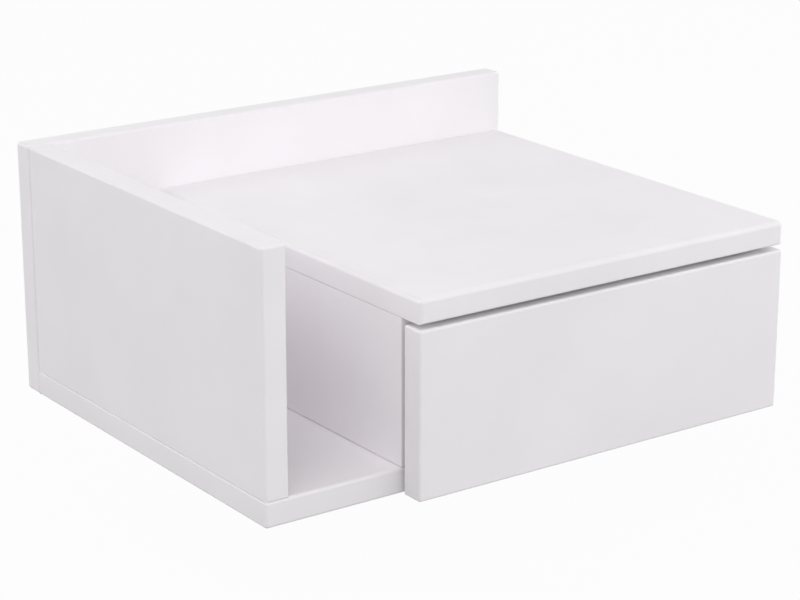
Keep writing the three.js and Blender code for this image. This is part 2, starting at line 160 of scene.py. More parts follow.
def turned(name, at, direction, steps, sides):
    """A round form on an axis: a disc, drawn out to each step and widened or narrowed there."""
    bpy.ops.object.select_all(action="DESELECT")
    radius, along = steps[0]
    turn = UP.rotation_difference(direction).to_euler()
    bpy.ops.mesh.primitive_circle_add(
        vertices=sides, radius=radius, fill_type="NGON", location=at + direction * along, rotation=turn
    )
    made = bpy.context.object
    made.name = name
    settle(made)
    bpy.ops.object.mode_set(mode="EDIT")
    bpy.ops.mesh.select_all(action="SELECT")
    for next_radius, next_along in steps[1:]:
        bpy.ops.mesh.extrude_region_move(TRANSFORM_OT_translate={"value": direction * (next_along - along)})
        wider = next_radius / radius
        bpy.ops.transform.resize(value=(wider, wider, wider), center_override=at + direction * next_along)
        radius, along = next_radius, next_along
    bpy.ops.mesh.select_all(action="SELECT")
    bpy.ops.mesh.normals_make_consistent(inside=False)
    done()
    return made


def cut(piece, *cutters):
    """Takes each cutter's form out of the piece."""
    for cutter in cutters:
        activate(piece)
        saw = piece.modifiers.new("saw", "BOOLEAN")
        saw.operation, saw.solver, saw.object = "DIFFERENCE", "EXACT", cutter
        bpy.ops.object.modifier_apply(modifier=saw.name)
        bpy.data.objects.remove(cutter, do_unlink=True)


def start_of(node, direction):
    """Where the axis of a fixing starts: the middle of the end that it goes in from."""
    low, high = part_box(node)
    middle, half = (low + high) / 2, (high - low) / 2
    return middle - direction * abs(half.dot(direction))


def countersunk_bore(node, direction, head, shank, length):
    mouth, bore = head / 2 + SLACK, shank / 2 + SLACK
    steps = [(mouth, -OVERRUN), (mouth, 0), (bore, (head - shank) / 2), (bore, length + SLACK)]
    return turned("cutter", start_of(node, direction), direction, steps, BORE_SIDES)


def case_screw_bores(nodes, direction):
    size = (CASE_SCREW_HEAD, CASE_SCREW_SHANK, CASE_SCREW_LENGTH)
    return [countersunk_bore(node, direction, *size) for node in nodes]


def smooth(piece, angle=35):
    """Shades the rounded edges smoothly and keeps the flat faces flat."""
    activate(piece)
    bpy.ops.object.shade_smooth_by_angle(angle=math.radians(angle))
    weigh = piece.modifiers.new("weigh", "WEIGHTED_NORMAL")
    weigh.keep_sharp = True
    weigh.weight = 100
    bpy.ops.object.modifier_apply(modifier=weigh.name)


def mark_edges(piece, node, edge):
    """Stores how far each point is round an outer edge: 0 on a flat face, 1 in the middle of the round."""
    low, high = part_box(node)
    values = []
    for vertex in piece.data.vertices:
        gaps = sorted(min(vertex.co[i] - low[i], high[i] - vertex.co[i]) for i in range(3))
        values.append(min(1, gaps[0] / (edge * (1 - math.sqrt(0.5)))) if gaps[1] < edge else 0)
    worn = piece.data.attributes.new("round_edge", "FLOAT", "POINT")
    worn.data.foreach_set("value", values)


def dress(piece, node, body, material):
    """Gives a piece its finish and its body, and hides the node that it stands for."""
    piece.data.materials.clear()
    piece.data.materials.append(material)
    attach(piece, body)
    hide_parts(node)


# Polyurethane lacquer, sprayed in two coats over primed fibreboard and left satin: the spray leaves
# a faint orange peel about 2.5 mm across, drawn at that size. Its white is slightly cool, drifts by
# a hair over a hand's width, and turns duller and a touch darker where cloths rub the round edges.
LACQUER_WHITE = "F6F3F6"
LACQUER_DEEP = "F2EFF2"
LACQUER_RUBBED = "E4E1E3"
lacquer = new_material("satin_polyurethane_lacquer")
tree = lacquer.node_tree
place = add(tree, "ShaderNodeTexCoord").outputs["Object"]
drift = add(tree, "ShaderNodeTexNoise", {"Scale": 11, "Detail": 3, "Roughness": 0.5}, {"Vector": place})
tone = add(tree, "ShaderNodeMapRange", {"From Min": 0.35, "From Max": 0.65}, {"Value": drift.outputs["Fac"]})
white = add(
    tree, "ShaderNodeMix", {"data_type": "RGBA", 6: linear(LACQUER_WHITE), 7: linear(LACQUER_DEEP)},
    {0: tone.outputs["Result"]},
)
edge = add(tree, "ShaderNodeAttribute", {"attribute_name": "round_edge"}).outputs["Fac"]
scuff = add(tree, "ShaderNodeTexNoise", {"Scale": 60, "Detail": 3, "Roughness": 0.6}, {"Vector": place})
scuffed = add(
    tree, "ShaderNodeMapRange", {"From Min": 0.45, "From Max": 0.7, "To Max": 0.3},
    {"Value": scuff.outputs["Fac"]},
)
rub = add(tree, "ShaderNodeMath", {"operation": "MULTIPLY"}, {0: edge, 1: scuffed.outputs["Result"]})
colour = add(
    tree, "ShaderNodeMix", {"data_type": "RGBA", 7: linear(LACQUER_RUBBED)},
    {0: rub.outputs["Value"], 6: white.outputs[2]},
)
wiped = add(tree, "ShaderNodeTexNoise", {"Scale": 26, "Detail": 5, "Distortion": 0.6}, {"Vector": place})
gloss = add(
    tree, "ShaderNodeMapRange", {"From Min": 0.3, "From Max": 0.7, "To Min": 0.36, "To Max": 0.46},
    {"Value": wiped.outputs["Fac"]},
)
dull = add(
    tree, "ShaderNodeMath", {"operation": "MULTIPLY_ADD", 1: 0.12},
    {0: rub.outputs["Value"], 2: gloss.outputs["Result"]},
)
peel = add(tree, "ShaderNodeTexNoise", {"Scale": 400, "Detail": 2, "Roughness": 0.45}, {"Vector": place})
bump = add(tree, "ShaderNodeBump", {"Strength": 0.18, "Distance": 0.05 * MM}, {"Height": peel.outputs["Fac"]})
shader = add(
    tree, "ShaderNodeBsdfPrincipled", {"IOR": 1.5},
    {"Base Color": colour.outputs[2], "Roughness": dull.outputs["Value"], "Normal": bump.outputs["Normal"]},
)
add(tree, "ShaderNodeOutputMaterial", None, {"Surface": shader.outputs["BSDF"]})

back = rounded_board(
    "back_panel_board", "back_panel", CASE_EDGE, CASE_EDGE_STEPS, [(TO_LEFT + TO_FRONT, FLUSH_EDGE)]
)
BACK_SCREWS = [
    "back_screw_left_lower", "back_screw_left_upper", "back_screw_divider", "back_screw_right",
    "back_screw_shelf_left", "back_screw_shelf_right", "back_screw_bottom",
]
cut(back, *case_screw_bores(BACK_SCREWS, TO_FRONT))
low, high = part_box("back_panel")
radius, depth = WALL_BORE / 2, high.y - low.y
flared = radius + WALL_BORE_RIM + OVERRUN
steps = [(flared, -OVERRUN), (radius, WALL_BORE_RIM), (radius, depth - WALL_BORE_RIM), (flared, depth + OVERRUN)]
for x, z in WALL_BORE_PLACES:
    cut(back, turned("cutter", Vector((x, high.y, z)), TO_FRONT, steps, BORE_SIDES))
smooth(back)
mark_edges(back, "back_panel", CASE_EDGE)
dress(back, "back_panel", "case", lacquer)


# Bottom panel and the three uprights: the same 16 mm board and lacquer as the back panel. The left
# side is as tall as the back panel, the divider and the right side end under the shelf. All stand
# on the bottom panel, held by screws from below and behind, with a hairline seam all round.
BASE_SCREWS = {
    "left_side_panel": ["base_screw_left_rear", "base_screw_left_front"],
    "divider_panel": ["base_screw_divider_rear", "base_screw_divider_front"],
    "right_side_panel": ["base_screw_right_rear", "base_screw_right_front"],
}
REAR_SCREWS = {
    "left_side_panel": ["back_screw_left_lower", "back_screw_left_upper"],
    "divider_panel": ["back_screw_divider"],
    "right_side_panel": ["back_screw_right"],
}
SHELF_DOWELS = {
    "divider_panel": ["shelf_dowel_divider_rear", "shelf_dowel_divider_front"],
    "right_side_panel": ["shelf_dowel_right_rear", "shelf_dowel_right_front"],
}
WALL_SCREWS = {
    "divider_panel": (TO_LEFT, ["cabinet_runner_screw_left_rear", "cabinet_runner_screw_left_front"]),
    "right_side_panel": (TO_RIGHT, ["cabinet_runner_screw_right_rear", "cabinet_runner_screw_right_front"]),
}
SHELF_DOWEL = 8 * MM
SHELF_DOWEL_LENGTH = 30 * MM
RUNNER_SCREW_SHANK = 3.5 * MM
RUNNER_SCREW_LENGTH = 13 * MM
EASED_EDGE = 0.25 * MM
SEAM_GAP = 0.6 * MM
SEAM_DEPTH = 4 * MM


def straight_bore(node, direction, diameter, length):
    bore = diameter / 2 + SLACK
    steps = [(bore, -SLACK), (bore, length + SLACK)]
    return turned("cutter", start_of(node, direction), direction, steps, BORE_SIDES)


floor_board = rounded_board(
    "bottom_panel_board", "bottom_panel", CASE_EDGE, CASE_EDGE_STEPS,
    [(TO_REAR, EASED_EDGE), (TO_LEFT + UP, FLUSH_EDGE), (TO_RIGHT + UP, FLUSH_EDGE)],
)
cut(floor_board, *case_screw_bores(sum(BASE_SCREWS.values(), []), UP))
cut(floor_board, *case_screw_bores(["back_screw_bottom"], TO_FRONT))
smooth(floor_board)
mark_edges(floor_board, "bottom_panel", CASE_EDGE)
dress(floor_board, "bottom_panel", "case", lacquer)

UNDER_SHELF = [(side, EASED_EDGE) for side in (TO_REAR, -UP, UP, TO_FRONT)]
CLOSER = {
    "left_side_panel": [
        (TO_REAR + TO_LEFT, FLUSH_EDGE), (TO_REAR + TO_RIGHT, EASED_EDGE),
        (TO_REAR + UP, EASED_EDGE), (-UP, EASED_EDGE),
    ],
    "divider_panel": UNDER_SHELF,
    "right_side_panel": UNDER_SHELF,
}
for node, closer in CLOSER.items():
    upright = rounded_board(f"{node}_board", node, CASE_EDGE, CASE_EDGE_STEPS, closer)
    if node == "left_side_panel":
        low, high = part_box(node)
        cut(upright, box_between(
            (low.x - OVERRUN, high.y - SEAM_GAP, low.z - OVERRUN),
            (low.x + SEAM_DEPTH, high.y + OVERRUN, high.z + OVERRUN),
        ))
    cut(upright, *case_screw_bores(BASE_SCREWS[node], UP))
    cut(upright, *case_screw_bores(REAR_SCREWS[node], TO_FRONT))
    for dowel in SHELF_DOWELS.get(node, []):
        cut(upright, straight_bore(dowel, UP, SHELF_DOWEL, SHELF_DOWEL_LENGTH))
    outward, wall_screws = WALL_SCREWS.get(node, (None, []))
    for fixing in wall_screws:
        cut(upright, straight_bore(fixing, outward, RUNNER_SCREW_SHANK, RUNNER_SCREW_LENGTH))
    smooth(upright)
    mark_edges(upright, node, CASE_EDGE)
    dress(upright, node, "case", lacquer)


# Shelf: 15 mm lacquered fibreboard that lies on the divider and the right side and reaches out over
# the drawer front. Dowels in the uprights and two screws from behind hold it. Its top and its
# corners are rounded over more than the case.
SHELF_EDGE = 3 * MM
SHELF_LOWER_EDGE = 1.4 * MM
shelf = rounded_board(
    "top_shelf_board", "top_shelf", SHELF_EDGE, CASE_EDGE_STEPS,
    [
        (TO_FRONT - UP, SHELF_LOWER_EDGE), (TO_REAR, EASED_EDGE),
        (TO_LEFT - UP, EASED_EDGE), (TO_RIGHT - UP, EASED_EDGE),
    ],
)
cut(shelf, *case_screw_bores(["back_screw_shelf_left", "back_screw_shelf_right"], TO_FRONT))
for dowel in sum(SHELF_DOWELS.values(), []):
    cut(shelf, straight_bore(dowel, UP, SHELF_DOWEL, SHELF_DOWEL_LENGTH))
smooth(shelf)
mark_edges(shelf, "top_shelf", SHELF_EDGE)
dress(shelf, "top_shelf", "case", lacquer)


# Drawer front: 15 mm lacquered fibreboard without a handle, pulled at its lower edge. Its rear face
# has a saw groove for the drawer bottom, and bores for the cam bolts and dowels of the drawer sides.
CAM_BOLT = 6 * MM
CAM_BOLT_LENGTH = 37.3 * MM
FRONT_DOWEL = 6 * MM
FRONT_DOWEL_LENGTH = 25 * MM
GROOVE_GAP = 0.3 * MM
FRONT_EDGE = 1.6 * MM
FRONT_REAR_EDGE = 0.6 * MM


def groove_cutter():
    """The saw cut that takes the drawer bottom on three sides."""
    low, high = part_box("drawer_bottom")
    gap = Vector((GROOVE_GAP, GROOVE_GAP, GROOVE_GAP))
    return box_between(low - gap, high + gap + Vector((0, OVERRUN, 0)))


def front_bores(words):
    bolts = [straight_bore(f"cam_bolt_{word}", TO_REAR, CAM_BOLT, CAM_BOLT_LENGTH) for word in words]
    dowels = [straight_bore(f"front_dowel_{word}", TO_REAR, FRONT_DOWEL, FRONT_DOWEL_LENGTH) for word in words]
    return bolts + dowels


front = rounded_board(
    "drawer_front_board", "drawer_front", FRONT_EDGE, CASE_EDGE_STEPS, [(TO_REAR, FRONT_REAR_EDGE)]
)
cut(front, groove_cutter(), *front_bores(["left", "right"]))
smooth(front)
mark_edges(front, "drawer_front", FRONT_EDGE)
dress(front, "drawer_front", "drawer", lacquer)


# Drawer sides and back: 12 mm particle board wrapped in matt white foil, cut square with edges just
# broken. The sides have a groove for the bottom and a pocket for a cam lock, the back is screwed
# between them and stands on the drawer bottom.
DRAWER_EDGE = 1 * MM
DRAWER_EDGE_STEPS = 3
CAM_DIAMETER = 15 * MM
CAM_DEPTH = 9 * MM
BACK_SCREW_HEAD = 7 * MM
BACK_SCREW_SHANK = 3.5 * MM
BACK_SCREW_LENGTH = 32 * MM
DRAWER_SIDES = (("left", TO_LEFT, TO_RIGHT), ("right", TO_RIGHT, TO_LEFT))

# Paper foil on particle board: printed white, pressed with a shallow pore pattern, 1.4 mm wide and
# 6.5 mm long from front to rear. The chips under it show through as a slight wave.
FOIL_WHITE = "F0EEEF"
FOIL_WARM = "EAE7E7"
foil = new_material("matt_white_foil_on_particle_board")
tree = foil.node_tree
place = add(tree, "ShaderNodeTexCoord").outputs["Object"]
along = add(tree, "ShaderNodeMapping", {"Scale": (1, 0.22, 1)}, {"Vector": place}).outputs["Vector"]
pores = add(tree, "ShaderNodeTexNoise", {"Scale": 700, "Detail": 3, "Roughness": 0.6}, {"Vector": along})
chips = add(tree, "ShaderNodeTexVoronoi", {"Scale": 130}, {"Vector": place})
cloud = add(tree, "ShaderNodeTexNoise", {"Scale": 18, "Detail": 2}, {"Vector": place})
colour = add(
    tree, "ShaderNodeMix", {"data_type": "RGBA", 6: linear(FOIL_WHITE), 7: linear(FOIL_WARM)},
    {0: cloud.outputs["Fac"]},
)
gloss = add(
    tree, "ShaderNodeMapRange", {"From Min": 0.3, "From Max": 0.7, "To Min": 0.44, "To Max": 0.58},
    {"Value": pores.outputs["Fac"]},
)
wave = add(tree, "ShaderNodeBump", {"Strength": 0.12, "Distance": 0.06 * MM}, {"Height": chips.outputs["Distance"]})
bump = add(
    tree, "ShaderNodeBump", {"Strength": 0.25, "Distance": 0.05 * MM},
    {"Height": pores.outputs["Fac"], "Normal": wave.outputs["Normal"]},
)
shader = add(
    tree, "ShaderNodeBsdfPrincipled", {"IOR": 1.5},
    {"Base Color": colour.outputs[2], "Roughness": gloss.outputs["Result"], "Normal": bump.outputs["Normal"]},
)
add(tree, "ShaderNodeOutputMaterial", None, {"Surface": shader.outputs["BSDF"]})


def drawer_back_bores(word, inward):
    nodes = [f"drawer_back_screw_{word}_{height}" for height in ("lower", "upper")]
    size = (BACK_SCREW_HEAD, BACK_SCREW_SHANK, BACK_SCREW_LENGTH)
    return [countersunk_bore(node, inward, *size) for node in nodes]


for word, outward, inward in DRAWER_SIDES:
    node = f"drawer_{word}_side"
    side = rounded_board(f"{node}_board", node, DRAWER_EDGE, DRAWER_EDGE_STEPS)
    pocket = CAM_DIAMETER / 2 + SLACK
    steps = [(pocket, -SLACK), (pocket, CAM_DEPTH + SLACK)]
    cut(side, groove_cutter(), *front_bores([word]), *drawer_back_bores(word, inward))
    cut(side, turned("cutter", start_of(f"cam_lock_{word}", outward), outward, steps, 2 * BORE_SIDES))
    for fixing in (f"drawer_runner_screw_{word}_rear", f"drawer_runner_screw_{word}_front"):
        cut(side, straight_bore(fixing, UP, RUNNER_SCREW_SHANK, RUNNER_SCREW_LENGTH))
    smooth(side)
    dress(side, node, "drawer", foil)

drawer_back = rounded_board("drawer_back_board", "drawer_back", DRAWER_EDGE, DRAWER_EDGE_STEPS)
for word, outward, inward in DRAWER_SIDES:
    cut(drawer_back, *drawer_back_bores(word, inward))
smooth(drawer_back)
dress(drawer_back, "drawer_back", "drawer", foil)


# Drawer bottom: 3 mm hardboard, white paint rolled on its upper face, raw brown underneath with the
# screen's imprint. It slides into the groove of the front and both sides.
HARDBOARD_EDGE = 0.3 * MM
HARDBOARD_EDGE_STEPS = 2
HARDBOARD_WHITE = "EFEDEC"
HARDBOARD_SHADE = "E6E3E1"
HARDBOARD_BROWN = "947352"
HARDBOARD_DARK = "70543A"

# Roller paint on hardboard: a flat white with fibres lying just under it, about 2 mm wide and drawn
# out to 13 mm along the way that the roller went.
painted = new_material("white_painted_hardboard")
tree = painted.node_tree
place = add(tree, "ShaderNodeTexCoord").outputs["Object"]
drag = add(tree, "ShaderNodeMapping", {"Scale": (1, 0.15, 1)}, {"Vector": place}).outputs["Vector"]
fibres = add(tree, "ShaderNodeTexNoise", {"Scale": 520, "Detail": 4, "Roughness": 0.7}, {"Vector": drag})
cloud = add(tree, "ShaderNodeTexNoise", {"Scale": 22, "Detail": 3}, {"Vector": place})
colour = add(
    tree, "ShaderNodeMix", {"data_type": "RGBA", 6: linear(HARDBOARD_WHITE), 7: linear(HARDBOARD_SHADE)},
    {0: cloud.outputs["Fac"]},
)
bump = add(tree, "ShaderNodeBump", {"Strength": 0.3, "Distance": 0.05 * MM}, {"Height": fibres.outputs["Fac"]})
shader = add(
    tree, "ShaderNodeBsdfPrincipled", {"IOR": 1.5, "Roughness": 0.52},
    {"Base Color": colour.outputs[2], "Normal": bump.outputs["Normal"]},
)
add(tree, "ShaderNodeOutputMaterial", None, {"Surface": shader.outputs["BSDF"]})

# Raw hardboard: pressed wood fibre, brown and dull, its rear dented by the wire screen of the press.
# The screen's mesh is 1.6 mm, and a Wave texture of scale 1 has a wave in each 2 pi / 20 metres.
SCREEN_MESH = 1.6 * MM
SCREEN_SCALE = 2 * math.pi / 20 / SCREEN_MESH
raw = new_material("raw_pressed_hardboard")
tree = raw.node_tree
place = add(tree, "ShaderNodeTexCoord").outputs["Object"]
fibres = add(tree, "ShaderNodeTexNoise", {"Scale": 380, "Detail": 5, "Roughness": 0.7}, {"Vector": place})
wires = [
    add(tree, "ShaderNodeTexWave", {"bands_direction": way, "Scale": SCREEN_SCALE}, {"Vector": place})
    for way in ("X", "Y")
]
screen = add(
    tree, "ShaderNodeMath", {"operation": "MINIMUM"}, {i: wire.outputs["Fac"] for i, wire in enumerate(wires)}
)
colour = add(
    tree, "ShaderNodeMix", {"data_type": "RGBA", 6: linear(HARDBOARD_DARK), 7: linear(HARDBOARD_BROWN)},
    {0: fibres.outputs["Fac"]},
)
bump = add(tree, "ShaderNodeBump", {"Strength": 0.5, "Distance": 0.15 * MM}, {"Height": screen.outputs["Value"]})
shader = add(
    tree, "ShaderNodeBsdfPrincipled", {"IOR": 1.5, "Roughness": 0.78},
    {"Base Color": colour.outputs[2], "Normal": bump.outputs["Normal"]},
)
add(tree, "ShaderNodeOutputMaterial", None, {"Surface": shader.outputs["BSDF"]})

tray = rounded_board("drawer_bottom_sheet", "drawer_bottom", HARDBOARD_EDGE, HARDBOARD_EDGE_STEPS)
smooth(tray)
dress(tray, "drawer_bottom", "drawer", painted)
tray.data.materials.append(raw)
painted_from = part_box("drawer_bottom")[1].z - HARDBOARD_EDGE
for face in tray.data.polygons:
    face.material_index = 0 if face.center.z > painted_from else 1


# Case screws: thirteen 4 x 45 mm chipboard screws of zinc plated steel, with a countersunk head, a
# cross recess and a thread that runs from under the head to the point. They sit flush in the back
# panel and the bottom panel.
CASE_SCREW_PITCH = 2.2 * MM
CASE_SCREW_RECESS = 4.4 * MM
SCREW_SIDES = 28
THREAD_STEPS = 14
CORE_SHARE = 0.68
ROOT_SHARE = 0.9
HEAD_RIM = 0.15 * MM
PLAIN_SHANK = 1.5 * MM
CORE_START = 2 * MM
THREAD_START = 2.5 * MM
THREAD_END_SHARE = 1.1
TIP_SHARE = 0.45
TIP_LENGTH_SHARE = 0.35
POINT = 0.12 * MM
RECESS_WING_SHARE = 0.27
RECESS_DEPTH_SHARE = 0.62
RECESS_TAPER_SHARES = (0.45, 0.7, 1)

# Zinc plate on steel: bright grey with a cool cast from the clear passivation, slightly cloudy from
# the plating bath and a little duller where drivers and swarf have touched it.
ZINC_BRIGHT = "C9CCD0"
ZINC_CLOUDY = "A9AEB6"
zinc = new_material("zinc_plated_steel")
tree = zinc.node_tree
place = add(tree, "ShaderNodeTexCoord").outputs["Object"]
bath = add(tree, "ShaderNodeTexNoise", {"Scale": 340, "Detail": 3, "Roughness": 0.6}, {"Vector": place})
grain = add(tree, "ShaderNodeTexNoise", {"Scale": 1500, "Detail": 2}, {"Vector": place})
colour = add(
    tree, "ShaderNodeMix", {"data_type": "RGBA", 6: linear(ZINC_BRIGHT), 7: linear(ZINC_CLOUDY)},
    {0: bath.outputs["Fac"]},
)
gloss = add(tree, "ShaderNodeMapRange", {"To Min": 0.24, "To Max": 0.46}, {"Value": bath.outputs["Fac"]})
bump = add(tree, "ShaderNodeBump", {"Strength": 0.2, "Distance": 0.03 * MM}, {"Height": grain.outputs["Fac"]})
shader = add(
    tree, "ShaderNodeBsdfPrincipled", {"Metallic": 1.0},
    {"Base Color": colour.outputs[2], "Roughness": gloss.outputs["Result"], "Normal": bump.outputs["Normal"]},
)
add(tree, "ShaderNodeOutputMaterial", None, {"Surface": shader.outputs["BSDF"]})


def thread(shank, pitch, start, end):
    """The ridge of a thread: a small triangle wound up along the axis, with its two ends closed."""
    bpy.ops.object.select_all(action="DESELECT")
    turns = int((end - start) / pitch)
    root, crest = shank / 2 * CORE_SHARE * ROOT_SHARE, shank / 2
    # two thirds of an even triangle's height lie between its middle and its crest
    radius = (crest - root) * 2 / 3
    bpy.ops.mesh.primitive_circle_add(
        vertices=3, radius=radius, fill_type="NOTHING", rotation=(math.pi / 2, math.pi / 2, 0),
        location=(crest - radius, 0, start),
    )
    ridge = bpy.context.object
    settle(ridge)
    wind = ridge.modifiers.new("wind", "SCREW")
    wind.axis, wind.steps, wind.render_steps = "Z", THREAD_STEPS, THREAD_STEPS
    wind.screw_offset, wind.iterations = pitch, turns
    bpy.ops.object.modifier_apply(modifier=wind.name)
    bpy.ops.object.mode_set(mode="EDIT")
    bpy.ops.mesh.select_all(action="SELECT")
    bpy.ops.mesh.fill_holes(sides=3)
    bpy.ops.mesh.select_all(action="SELECT")
    bpy.ops.mesh.normals_make_consistent(inside=False)
    done()
    return ridge


def cross_recess(piece, wide, thin, deep):
    """Presses a tapered cross into the head."""
    for quarter in range(2):
        wing = box_between((-wide / 2, -thin / 2, -OVERRUN), (wide / 2, thin / 2, deep))
        edit(wing)
        pick(wing, "verts", lambda corner: corner.z > 0)
        bpy.ops.transform.resize(value=RECESS_TAPER_SHARES, center_override=(0, 0, deep))
        done()
        wing.rotation_euler.z = quarter * math.pi / 2
        settle(wing)
        cut(piece, wing)


def join(piece, other):
    activate(piece)
    other.select_set(True)
    bpy.ops.object.join()


def set_copy(model, name, node, direction, body, material):
    """Sets a copy of a model, made at the origin and pointing up, at the place of its node."""
    copy = model.copy()
    copy.data = model.data.copy()
    copy.name = name
    bpy.context.scene.collection.objects.link(copy)
    copy.rotation_euler = UP.rotation_difference(direction).to_euler()
    copy.location = start_of(node, direction)
    settle(copy)
    dress(copy, node, body, material)


def set_copies(model, starts, body, material):
    for node, direction in starts:
        set_copy(model, f"{node}_set", node, direction, body, material)
    bpy.data.objects.remove(model, do_unlink=True)


def countersunk_screw(head, shank, length, pitch, recess):
    """A wood screw at the origin, its head's face at zero and its point upwards."""
    core = shank / 2 * CORE_SHARE
    neck = (head - shank) / 2
    steps = [
        (head / 2 - HEAD_RIM, 0), (head / 2, HEAD_RIM), (shank / 2, neck), (shank / 2, neck + PLAIN_SHANK),
        (core, neck + CORE_START), (core, length - shank),
        (core * TIP_SHARE, length - shank * TIP_LENGTH_SHARE), (POINT, length),
    ]
    made = turned("screw", Vector(), UP, steps, SCREW_SIDES)
    smooth(made)
    cross_recess(made, recess, recess * RECESS_WING_SHARE, recess * RECESS_DEPTH_SHARE)
    join(made, thread(shank, pitch, neck + THREAD_START, length - shank * THREAD_END_SHARE))
    return made


up_screws = [(node, UP) for node in sum(BASE_SCREWS.values(), [])]
rear_screws = [(node, TO_FRONT) for node in BACK_SCREWS]
set_copies(
    countersunk_screw(CASE_SCREW_HEAD, CASE_SCREW_SHANK, CASE_SCREW_LENGTH, CASE_SCREW_PITCH, CASE_SCREW_RECESS),
    up_screws + rear_screws, "case", zinc,
)


# Drawer back screws: four 3.5 x 32 mm chipboard screws, driven through the drawer sides into the
# ends of the drawer back until their heads are flush.
BACK_SCREW_PITCH = 1.8 * MM
BACK_SCREW_RECESS = 3.9 * MM
side_screws = [
    (f"drawer_back_screw_{word}_{height}", inward)
    for word, outward, inward in DRAWER_SIDES for height in ("lower", "upper")
]
set_copies(
    countersunk_screw(BACK_SCREW_HEAD, BACK_SCREW_SHANK, BACK_SCREW_LENGTH, BACK_SCREW_PITCH, BACK_SCREW_RECESS),
    side_screws, "drawer", zinc,
)


# Runner screws: eight short pan head screws, 3.5 x 13 mm, that hold the runners to the bay walls and
# up into the drawer sides.
RUNNER_SCREW_HEAD = 6 * MM
RUNNER_SCREW_HEAD_HEIGHT = 1 * MM
RUNNER_SCREW_PITCH = 1.6 * MM
RUNNER_SCREW_RECESS = (3 * MM, 0.85 * MM, 1.5 * MM)
RUNNER_SCREW_POINT = 0.15 * MM
# radius and depth of each step of the rounded head, as shares of its width and its height
PAN_HEAD_SHARES = ((0.3, 0), (0.42, 0.12), (0.49, 0.4), (0.5, 0.7), (0.5, 1))
UNDER_HEAD = 1.2 * MM
SHORT_TIP_SHARE = 0.8
SHORT_THREAD_END_SHARE = 0.9


def pan_screw():
    head, height = RUNNER_SCREW_HEAD, RUNNER_SCREW_HEAD_HEIGHT
    shank, length = RUNNER_SCREW_SHANK, RUNNER_SCREW_LENGTH
    core = shank / 2 * CORE_SHARE
    steps = [(head * wide, height * deep) for wide, deep in PAN_HEAD_SHARES] + [
        (shank / 2, height), (core, height + UNDER_HEAD),
        (core, length - shank * SHORT_TIP_SHARE), (RUNNER_SCREW_POINT, length),
    ]
    made = turned("screw", Vector(), UP, steps, SCREW_SIDES)
    smooth(made)
    cross_recess(made, *RUNNER_SCREW_RECESS)
    join(made, thread(shank, RUNNER_SCREW_PITCH, height + UNDER_HEAD, length - shank * SHORT_THREAD_END_SHARE))
    return made


set_copies(
    pan_screw(),
    [(node, outward) for outward, nodes in WALL_SCREWS.values() for node in nodes],
    "case", zinc,
)
set_copies(
    pan_screw(),
    [(f"drawer_runner_screw_{word}_{depth}", UP) for word in ("left", "right") for depth in ("rear", "front")],
    "drawer", zinc,
)


# Dowels: fluted beech pins with chamfered ends, glued into the boards. Four of 8 x 30 mm stand
# between the uprights and the shelf, two of 6 x 25 mm keep the drawer front in line.
DOWEL_CHAMFER = 0.8 * MM
DOWEL_FLUTES = 16
FLUTE_SIDES = 4
FLUTE_SHARE = 0.92
FLUTE_ANGLE = 25

# Beech, turned and pressed with flutes: pale brown with a slight pink, fine pores along the pin and
# darker ray flecks, drawn about 1.5 mm wide and 9 mm long so that they show. Raw wood, so it is dull.
BEECH_PALE = "D2AC7E"
BEECH_DARK = "B98E60"


def beech(name, stretch):
    made = new_material(name)
    tree = made.node_tree
    place = add(tree, "ShaderNodeTexCoord").outputs["Object"]
    along = add(tree, "ShaderNodeMapping", {"Scale": stretch}, {"Vector": place}).outputs["Vector"]
    grain = add(tree, "ShaderNodeTexNoise", {"Scale": 1400, "Detail": 4, "Roughness": 0.7}, {"Vector": along})
    flecks = add(tree, "ShaderNodeTexVoronoi", {"Scale": 700}, {"Vector": along})
    share = add(
        tree, "ShaderNodeMath", {"operation": "MULTIPLY"},
        {0: grain.outputs["Fac"], 1: flecks.outputs["Distance"]},
    )
    colour = add(
        tree, "ShaderNodeMix", {"data_type": "RGBA", 6: linear(BEECH_DARK), 7: linear(BEECH_PALE)},
        {0: share.outputs["Value"]},
    )
    bump = add(tree, "ShaderNodeBump", {"Strength": 0.3, "Distance": 0.05 * MM}, {"Height": grain.outputs["Fac"]})
    shader = add(
        tree, "ShaderNodeBsdfPrincipled", {"IOR": 1.5, "Roughness": 0.7},
        {"Base Color": colour.outputs[2], "Normal": bump.outputs["Normal"]},
    )
    add(tree, "ShaderNodeOutputMaterial", None, {"Surface": shader.outputs["BSDF"]})
    return made


def fluted_pin(diameter, length):
    """A pin with every fourth line of its side pressed in."""
    radius, sides = diameter / 2, FLUTE_SIDES * DOWEL_FLUTES
    steps = [
        (radius - DOWEL_CHAMFER, 0), (radius, DOWEL_CHAMFER), (radius, length - DOWEL_CHAMFER),
        (radius - DOWEL_CHAMFER, length),
    ]
    made = turned("pin", Vector(), UP, steps, sides)
    edit(made)
    pick(made, "verts", lambda corner: corner.xy.length > radius - SLACK
         and round(math.atan2(corner.y, corner.x) / math.tau * sides) % FLUTE_SIDES == 0)
    bpy.ops.transform.resize(value=(FLUTE_SHARE, FLUTE_SHARE, 1), center_override=(0, 0, length / 2))
    done()
    smooth(made, FLUTE_ANGLE)
    return made


set_copies(
    fluted_pin(SHELF_DOWEL, SHELF_DOWEL_LENGTH),
    [(node, UP) for node in sum(SHELF_DOWELS.values(), [])],
    "case", beech("fluted_beech_upright", (1, 1, 0.15)),
)
set_copies(
    fluted_pin(FRONT_DOWEL, FRONT_DOWEL_LENGTH),
    [("front_dowel_left", TO_REAR), ("front_dowel_right", TO_REAR)],
    "drawer", beech("fluted_beech_lying", (1, 0.15, 1)),
)


